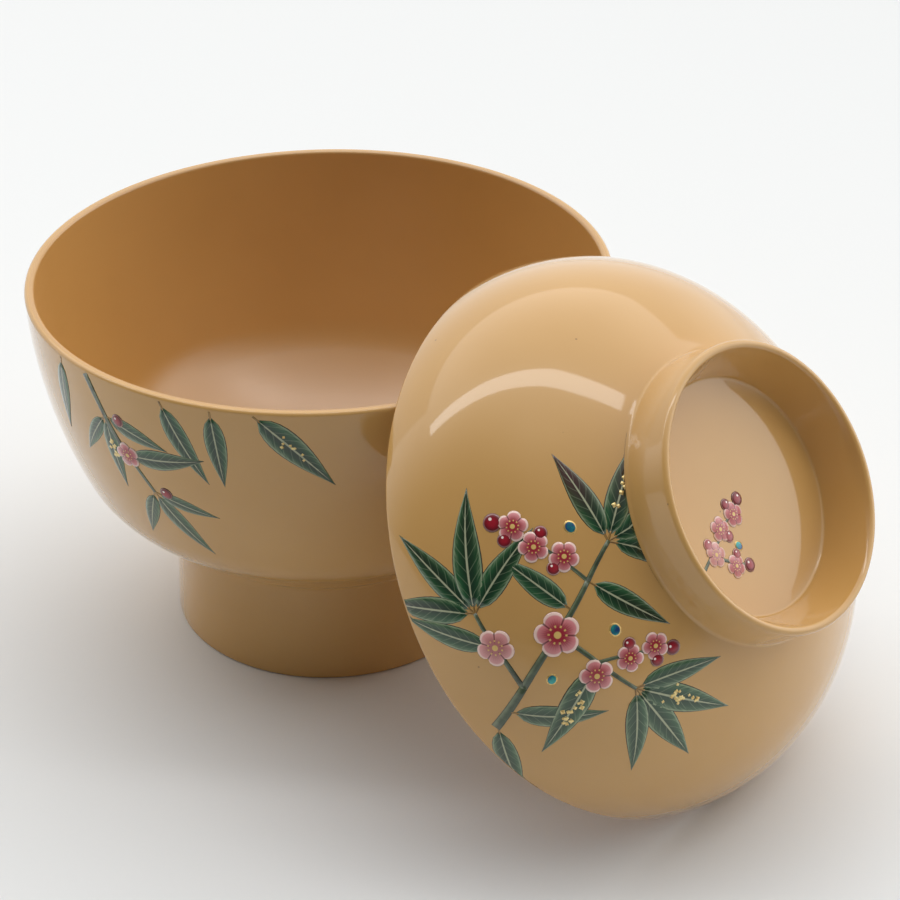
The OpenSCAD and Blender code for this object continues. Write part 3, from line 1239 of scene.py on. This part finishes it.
def blade_mesh(name: str, half: Any, steps: int) -> bpy.types.Mesh:
    """Makes a long motif from 0 to 1, such as a leaf or a strip of stem.

    Args:
        name: Name of the mesh.
        half: Half width at each share of the length, or a number above 0 at an open end.
        steps: Steps along it.

    Returns:
        The closed mesh. Its edge lies at 0 and its back at 1.
    """
    across = ((-1.0, 0.0), (-0.93, 0.8), (-0.5, 0.95), (0.0, 1.0), (0.5, 0.95),
              (0.93, 0.8), (1.0, 0.0))
    points: list[Vector] = []
    chart: list[Point] = []
    for k in range(steps + 1):
        x = k / steps
        for y, z in across:
            points.append(Vector((x, y * half(x), z)))
            chart.append((x, 0.5 + 0.5 * y))
    n = len(across)
    faces: list[Sequence[int]] = []
    for k in range(steps):
        a, b = k * n, (k + 1) * n
        faces += [(a + j, b + j, b + j + 1, a + j + 1) for j in range(n - 1)]
        faces.append((a + n - 1, b + n - 1, b, a))
    faces.append(tuple(range(n)))
    faces.append(tuple(reversed(range(steps * n, steps * n + n))))
    return closed_mesh(name, points, faces, chart)


def disc_mesh(name: str, edge: Any, rings: Sequence[tuple[float, float]],
              steps: int) -> bpy.types.Mesh:
    """Makes a round motif about the middle, such as a bud or a blossom.

    Args:
        name: Name of the mesh.
        edge: Radius of the edge at each angle in radians.
        rings: Share of the radius and height of each ring, from the edge inwards.
        steps: Steps around it.

    Returns:
        The closed mesh. Its edge lies at 0 and its middle at 1.
    """
    points: list[Vector] = []
    for share, z in rings:
        for k in range(steps):
            a = math.tau * k / steps
            points.append(Vector((edge(a) * share * math.cos(a),
                                  edge(a) * share * math.sin(a), z)))
    points.append(Vector((0.0, 0.0, 1.0)))
    top = len(points) - 1
    faces: list[Sequence[int]] = [tuple(reversed(range(steps)))]
    for ring in range(len(rings) - 1):
        a, b = ring * steps, (ring + 1) * steps
        faces += [(a + k, a + (k + 1) % steps, b + (k + 1) % steps, b + k)
                  for k in range(steps)]
    a = (len(rings) - 1) * steps
    faces += [(a + k, a + (k + 1) % steps, top) for k in range(steps)]
    return closed_mesh(name, points, faces, [(0.5 + p.x, 0.5 + p.y) for p in points])


def leaf_half(x: float, root: float = 0.6, tip: float = 1.2, end: float = 0.004) -> float:
    """Half width of a slender leaf.

    Args:
        x: Share of its length.
        root: Power of the way from the root.
        tip: Power of the way to the tip, which is twice as large for a widest place at
            a third of the length.
        end: Share of the length at which each end is cut.

    Returns:
        The half width, which is 0.5 at the widest place.
    """
    x = min(max(x, end), 1.0 - end)
    widest = (1.0 / 3.0) ** root * (2.0 / 3.0) ** tip
    return 0.5 * x ** root * (1.0 - x) ** tip / widest


def petal_edge(angle: float) -> float:
    """Edge of a blossom with round petals."""
    lobe = abs(math.cos(PETALS / 2 * angle))
    return 0.5 * (1.0 - PETAL_NOTCH + PETAL_NOTCH * lobe ** PETAL_ROUND)


def motif_mesh(motif: Motif) -> bpy.types.Mesh:
    """Shape of a motif, from its half width or edge and its number of steps."""
    blades = {Motif.LEAF: (leaf_half, 12), Motif.TWIG: (lambda x: 0.5 - 0.1 * x, 6),
              Motif.TENDRIL: (lambda x: 0.5 - 0.05 * x, 6)}
    if motif in blades:
        return blade_mesh(motif.value, *blades[motif])
    dot = (lambda a: 0.5, ((1.0, 0.0), (0.95, 0.45), (0.6, 0.85)), 16)
    discs = {Motif.BLOSSOM: (petal_edge, ((1.0, 0.0), (0.93, 0.7), (0.35, 0.75)), 30),
             Motif.FLAKE: (lambda a: 0.5, ((1.0, 0.0), (0.96, 0.9)), 4),
             Motif.BUD: dot, Motif.SHELL: dot}
    return disc_mesh(motif.value, *discs[motif])


class Wrap(Grower):
    """Lays motifs on a turned surface.

    FIELDS holds the scale of each field of a mark, and SUNK is how deep the motifs reach
    into the surface, in millimetres.
    """

    FIELDS = {"down": MM, "turn": math.radians(1.0), "heading": math.radians(1.0),
              "long": MM, "wide": MM, "bend": 1.0, "tint": 1.0, "lift": MM}
    SUNK = 0.04

    def __init__(self) -> None:
        """Builds the tree with inputs for its motif, section, height and finish."""
        super().__init__("Wrap", {"Marks": "Geometry", "Motif": "Object",
                                  "Section": "Object", "Height": "Float",
                                  "Sunk": "Float", "Least slope": "Float",
                                  "Finish": "Material"})
        t, given = self.tree, self.given
        motif, section = (
            t.out(t.node("GeometryNodeObjectInfo", None, {"Object": t.out(given, key)}),
                  "Geometry") for key in ("Motif", "Section"))
        path = t.node("GeometryNodeMeshToCurve", None, {"Mesh": section})
        copies = t.node("GeometryNodeInstanceOnPoints", None,
                        {"Points": t.out(given, "Marks"), "Instance": motif})
        mark = {name: t.named(name) for name in self.FIELDS}
        x, y, z = t.parts(t.node("GeometryNodeInputPosition"))
        along = x * mark["long"]
        across = y * mark["wide"] + mark["bend"] * mark["long"] * x * x
        c, s = mark["heading"].cos(), mark["heading"].sin()
        right, above = along * c - across * s, along * s + across * c
        here = self._sample(path, mark["down"])
        slope = abs(here["grows"]).most(t.num(given, "Least slope"))
        side = here["grows"].above(0.0) * 2.0 - 1.0
        apex = here["radius"] / slope
        near = apex - side * above
        down = mark["down"] + side * ((near * near + right * right) ** 0.5 - apex)
        turn = mark["turn"] + right.angle(near) / slope
        there = self._sample(path, down)
        sunk = t.num(given, "Sunk")
        rise = z * (t.num(given, "Height") + mark["lift"] + sunk) - sunk
        radius = there["radius"] - there["climbs"] * rise
        spot = t.vector(radius * turn.cos(), radius * turn.sin(),
                        there["level"] + there["grows"] * rise)
        laid = t.chain(copies, ("GeometryNodeRealizeInstances", {}, {}),
                       ("GeometryNodeSetPosition", {}, {"Position": spot}),
                       ("GeometryNodeSetMaterial", {}, {"Material": t.out(given, "Finish")}))
        t.node("NodeGroupOutput", None, {0: laid})

    def _sample(self, path: Any, length: Num) -> dict[str, Num]:
        """Place on the section, and how its radius and its level change there."""
        t = self.tree
        node = t.node("GeometryNodeSampleCurve",
                      {"data_type": "FLOAT", "mode": "LENGTH", "use_all_curves": True},
                      {"Curves": path, "Length": length})
        radius, _, level = t.parts(t.out(node, "Position"))
        grows, _, climbs = t.parts(t.out(node, "Tangent"))
        return {"radius": radius, "level": level, "grows": grows, "climbs": climbs}

    def lay(self, name: str, spray: Spray, motif: Motif, finish: bpy.types.Material,
            height: float, place: Matrix) -> bpy.types.Object:
        """Lays all marks of one motif.

        Args:
            name: Name of the piece.
            spray: The marks and their surface.
            motif: Which motif.
            finish: Its finish.
            height: How far it stands proud, in millimetres.
            place: Where the turned piece stands, in metres.

        Returns:
            The piece, which is closed.
        """
        marks = spray.marks[motif]
        mesh = bpy.data.meshes.new(name)
        mesh.from_pydata([(0.0, 0.0, 0.0)] * len(marks), [], [])
        for key, scale in self.FIELDS.items():
            mesh.attributes.new(key, "FLOAT", "POINT").data.foreach_set(
                "value", [getattr(m, key) * scale for m in marks])
        helpers = [put_in_scene("motif", motif_mesh(motif)),
                   put_in_scene("section", spray.chart.outer.mesh("section"))]
        piece = self.grow(name, mesh, {
            "Motif": helpers[0], "Section": helpers[1], "Height": height * MM,
            "Sunk": self.SUNK * MM, "Least slope": spray.chart.least_slope,
            "Finish": finish}, place)
        for helper in helpers:
            kept = helper.data
            bpy.data.objects.remove(helper)
            bpy.data.meshes.remove(kept)
        return piece


def lid_spray(chart: Chart) -> Spray:
    """Flowering branch and leaves on the outside of the lid."""
    spray = Spray(chart, 11, 200.0)
    branch = spray.stem(Motif.TWIG, Mark(40.5, -74.0, 112.0), 1.9,
                        ((11.0, 0.05), (12.0, -0.04), (11.0, 0.06), (8.0, -0.05)))
    spray.leaf(Mark(40.0, -74.0, 0.0), -28.0, 18.0, -0.5)
    spray.leaf(chart.move(branch[0], -6.0), 51.0, 16.5, -0.8)

    left = spray.stem(Motif.TWIG, Mark(branch[0].down, branch[0].turn, 178.0),
                      1.1, ((9.0, 0.05), (7.0, -0.06)))
    spray.fan(left[1], (-56.0, -16.0, 22.0, 62.0), 22.0, 0.1)
    spray.leaf(left[0], 236.0, 17.0, -0.4)

    right = spray.stem(Motif.TWIG, Mark(branch[1].down, branch[1].turn, 28.0),
                       1.1, ((9.0, -0.07), (9.0, 0.05)))
    spray.fan(right[1], (-49.0, -17.0, 15.0, 50.0), 20.5, -0.6, 18)
    spray.leaf(right[0], -64.0, 20.0, -0.7, 16)

    spray.fan(branch[3], (-70.0, -28.0, 16.0, 60.0), 21.0, 0.75, 6)
    spray.leaf(branch[2], 36.0, 16.0, 0.3)
    spray.leaf(chart.move(branch[1], 5.0), 206.0, 15.0, -0.2)

    upper = Mark(branch[2].down, branch[2].turn, 205.0)
    spray.sprig(upper, ((5.0, 0.03), (5.4, 0.05), (5.0, 0.04), (4.6, 0.04)), 3.4, 0.4)
    lower = Mark(right[0].down, right[0].turn, 66.0)
    spray.sprig(lower, ((5.0, -0.05), (5.0, -0.04), (4.4, -0.04)), 3.2, 0.3)
    spray.blossom(branch[1], 8.6, 0.6)
    spray.blossom(left[0], 7.2, -0.2)
    spray.blossom(chart.move(right[0], 1.5, -2.0), 6.6, 0.2)
    spray.shell(chart.move(upper, 8.4, -5.2), 2.3)
    spray.shell(chart.move(lower, 4.4, 4.8), 2.3)
    spray.shell(chart.move(branch[0], 4.0, -3.6), 2.0)
    return spray


def ring_spray(chart: Chart) -> Spray:
    """Small pale sprig on the floor of the ring grip."""
    spray = Spray(chart, 5, 130.0)
    joints = spray.sprig(Mark(19.0, -66.0, 92.0),
                         ((4.4, -0.04), (5.0, 0.06), (4.8, -0.05), (4.2, 0.04)), 3.0,
                         -0.3)
    spray.sprig(Mark(joints[0].down, joints[0].turn, joints[0].heading - 62.0),
                ((5.4, 0.05), (4.4, 0.04)), 2.8, 0.1)
    spray.shell(chart.move(joints[1], 1.0, -4.6), 1.9)
    return spray


def bowl_spray(chart: Chart) -> Spray:
    """Twig and single leaves that hang from the rim of the bowl."""
    spray = Spray(chart, 23, 130.0)
    stem = spray.stem(Motif.TWIG, Mark(0.3, -139.0, -58.0), 1.6,
                      ((9.0, -0.05), (9.0, 0.06), (9.0, -0.05)))
    spray.fan(stem[0], (-66.0, -22.0, 50.0), 17.0, -0.2, 10)
    spray.fan(stem[2], (-50.0, 0.0, 46.0), 16.0, -0.5)
    spray.leaf(stem[1], 8.0, 17.0, 0.2)
    for turn, way, length, flakes in ((-147.0, -96.0, 16.0, 0), (-121.0, -66.0, 18.0, 0),
                                      (-111.0, -84.0, 16.0, 0), (-103.0, -42.0, 20.0, 8)):
        spray.leaf(Mark(0.2, turn, 0.0), way, length, 0.1, flakes)
    spray.blossom(stem[1], 6.0, 0.4)
    spray.bud(chart.move(stem[2], 1.0, 2.8), 3.0, 0.8)
    spray.bud(chart.move(stem[0], 1.5, 3.2), 2.8, 0.5)
    return spray


# Height in millimetres and finish of each motif.
HEIGHTS = {Motif.LEAF: 0.045, Motif.BUD: 0.26, Motif.BLOSSOM: 0.15, Motif.TWIG: 0.1,
           Motif.TENDRIL: 0.08, Motif.FLAKE: 0.085, Motif.SHELL: 0.14}
PAINTS = {
    Motif.LEAF: LeafPaint(), Motif.BUD: BudPaint(), Motif.BLOSSOM: PetalPaint(),
    Motif.TWIG: StemPaint("twig_paint", body=srgb(68, 82, 60), lit=srgb(134, 146, 112),
                          ink=srgb(38, 38, 28)),
    Motif.TENDRIL: StemPaint("tendril_gold", body=srgb(138, 104, 52),
                             lit=srgb(196, 158, 92), ink=srgb(92, 66, 32), metallic=0.35),
    Motif.FLAKE: GoldLeaf(), Motif.SHELL: ShellInlay()}


# Stage.
@dataclass
class Studio:
    """Pale floor, soft light and the camera.

    Lengths are in metres and angles in radians, but the strip's turn is in degrees.
    """

    focal_px: float = 2301.0
    image_px: float = 900.0
    sensor_mm: float = 36.0
    clip: Point = (0.01, 50.0)
    back: float = 0.423738
    up: float = 0.290505
    pan: float = 0.062
    tilt: float = 0.543
    roll: float = -0.009
    floor_reach: float = 4.0
    white: Colour = (1.0, 1.0, 0.995)
    front_light: float = 0.12
    back_light: float = 1.5
    glow_light: float = 0.5
    sheet_light: float = 1.0
    front_from: float = -0.55
    back_from: float = 0.2
    left_dim: float = 0.45
    right_dim: float = -0.06
    back_pull: float = 0.85
    up_pull: float = 0.1
    glow_rise: Point = (0.5, 0.95)
    sheet_rise: Point = (0.535, 0.555)
    sheet_edge: Point = (-0.01, 0.03)
    sheet_right: float = 0.9
    sheet_left: float = 0.5
    strip_place: tuple[float, float, float] = (-0.36, 0.14, 1.09)
    strip_turn: float = -11.0
    strip_size: Point = (2.0, 0.13)
    strip_power: float = 3.4

    def camera(self) -> None:
        """Stands the camera where the outlines in the photograph put it."""
        cp, sp = math.cos(self.pan), math.sin(self.pan)
        ct, st = math.cos(self.tilt), math.sin(self.tilt)
        forward = Vector((sp * ct, cp * ct, -st))
        right = Vector((cp, -sp, 0.0))
        above = right.cross(forward)
        cr, sr = math.cos(self.roll), math.sin(self.roll)
        x, y = right * cr + above * sr, above * cr - right * sr
        data = bpy.data.cameras.new("camera")
        data.sensor_fit = "HORIZONTAL"
        data.sensor_width = self.sensor_mm
        data.lens = self.focal_px / self.image_px * self.sensor_mm
        data.clip_start, data.clip_end = self.clip
        camera = put_in_scene("camera", data)
        turn = Matrix((x, y, -forward)).transposed().to_4x4()
        camera.matrix_world = Matrix.Translation((0.0, -self.back, self.up)) @ turn
        bpy.context.scene.camera = camera

    def strip(self) -> None:
        """Hangs a long soft lamp, which faces straight down."""
        data = bpy.data.lights.new("strip", "AREA")
        data.shape = "RECTANGLE"
        data.size, data.size_y = self.strip_size
        data.energy = self.strip_power
        lamp = put_in_scene("strip", data)
        lamp.location = self.strip_place
        lamp.rotation_euler = (0.0, 0.0, math.radians(self.strip_turn))

    def floor(self) -> None:
        """Lays the floor."""
        mesh = bpy.data.meshes.new("floor")
        reach = self.floor_reach
        mesh.from_pydata([(-reach, -reach, 0.0), (reach, -reach, 0.0),
                          (reach, reach, 0.0), (-reach, reach, 0.0)], [], [(0, 1, 2, 3)])
        mesh.materials.append(FloorPaper().material())
        floor = put_in_scene("floor", mesh)

    def world(self) -> None:
        """Fills the studio with soft white light that comes from behind the bowl.

        A white sheet stands behind the table up to 33 degrees. Past it the room is
        brighter, and towards the front it grows dim.
        """
        world = bpy.data.worlds.new("studio")
        world.use_nodes = True
        t = Tree(world.node_tree)
        x, y, z = t.parts(t.place("Generated"))
        right, left = x.most(0.0), x.least(0.0)
        aside = right * self.right_dim - left * self.left_dim
        behind = (y * self.back_pull - aside + z * self.up_pull).ramp(self.front_from,
                                                                      self.back_from)
        room = self.front_light + behind * (self.back_light - self.front_light)
        glow = (1.0 - z.ramp(*self.glow_rise)) * behind * self.glow_light
        spread = y - right * self.sheet_right + left * self.sheet_left
        sheet = (1.0 - z.ramp(*self.sheet_rise)) * spread.ramp(*self.sheet_edge)
        light = (room + glow) * (1.0 - sheet) + sheet * self.sheet_light
        ground = world.node_tree.nodes["Background"]
        t.feed(ground.inputs[0], (*self.white, 1.0))
        t.feed(ground.inputs[1], light)
        bpy.context.scene.world = world

    def build(self) -> None:
        """Builds the stage."""
        self.camera()
        self.floor()
        self.world()
        self.strip()
        scene = bpy.context.scene
        scene.view_settings.view_transform = "Standard"
        scene.view_settings.look = "None"


# All together.
def main() -> None:
    """Builds the stage and both pieces, and notes how large the result is."""
    logging.basicConfig(level=logging.INFO, format="%(name)s: %(message)s")
    Studio().build()
    polished = Lacquer("polished_lacquer", Sheen.POLISHED).material()
    # Inside the bowl and the lid the lacquer is satin, and its colour is darker than outside:
    # painted shade in their hollows.
    satin = Lacquer("satin_lacquer", Sheen.SATIN, colour=srgb(197, 150, 85),
                    deep=srgb(184, 136, 70)).material()
    lathe = Lathe()

    bowl_section, bowl_outer = Bowl().section()
    bowl = lathe.turn("bowl_turned", bowl_section,
                      {Zone.OUTSIDE: polished, Zone.INSIDE: satin}, Matrix.Identity(4))
    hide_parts("bowl")
    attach(bowl, "bowl_body")

    lid = Lid()
    lid_section, lid_outer = lid.section()
    lid_piece = lathe.turn("lid_turned", lid_section,
                           {Zone.OUTSIDE: polished, Zone.INSIDE: satin}, lid.place())
    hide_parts("lid")
    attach(lid_piece, "lid_body")

    wrap = Wrap()
    finish = {motif: paint.material() for motif, paint in PAINTS.items()}
    recess = Section([(0.0, lid.floor_z), (lid.recess_r - lid.recess_fillet, lid.floor_z)])
    sprays = (("bowl", "bowl", bowl_spray(Chart(bowl_outer)), Matrix.Identity(4)),
              ("lid", "lid", lid_spray(Chart(lid_outer)), lid.place()),
              ("ring", "lid", ring_spray(Chart(recess)), lid.place()))
    for name, carrier, spray, place in sprays:
        for motif, marks in spray.marks.items():
            if not marks:
                continue
            piece = wrap.lay(f"{name}_{motif.value}", spray, motif, finish[motif],
                             HEIGHTS[motif], place)
            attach(piece, f"{carrier}_body")


if __name__ == "__main__":
    main()
